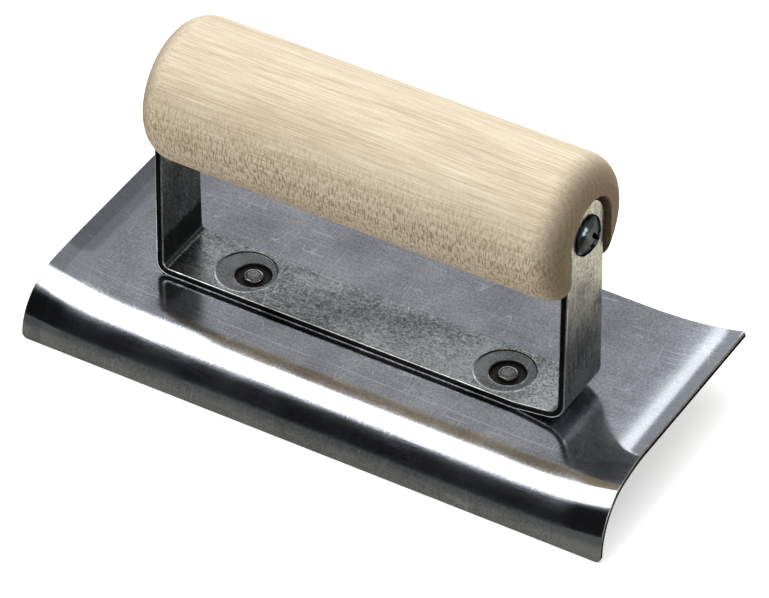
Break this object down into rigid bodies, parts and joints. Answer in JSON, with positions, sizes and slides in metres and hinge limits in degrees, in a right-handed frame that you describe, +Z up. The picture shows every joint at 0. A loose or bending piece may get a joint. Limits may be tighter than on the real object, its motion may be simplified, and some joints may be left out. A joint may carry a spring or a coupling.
{
  "type": "concrete edger",
  "caption": "Hand edger for rounding the edge of a fresh concrete slab: rolled-lip steel blade, strip bracket and turned wooden handle.",
  "frame": {"origin": "on the flat underside of the blade, at the middle of its length, directly below the axis of the handle", "axes": "+X along the blade, -Y towards the rolled lip, +Z up from the blade to the handle"},
  "size_m": [0.1524, 0.0698, 0.0802],
  "materials": {
    "blade_steel": "satin",
    "bracket_steel": "satin",
    "stud_steel": "satin",
    "handle_wood": "sanded, clear sealed",
    "bolt_steel": "bright plated"
  },
  "bodies": {
    "root": {"blade": "blade_steel", "bracket": "bracket_steel", "stud_left": "stud_steel", "stud_right": "stud_steel", "handle": "handle_wood", "tie_bolt": "bolt_steel", "washer": "bolt_steel", "nut": "bolt_steel"}
  },
  "joints": []
}
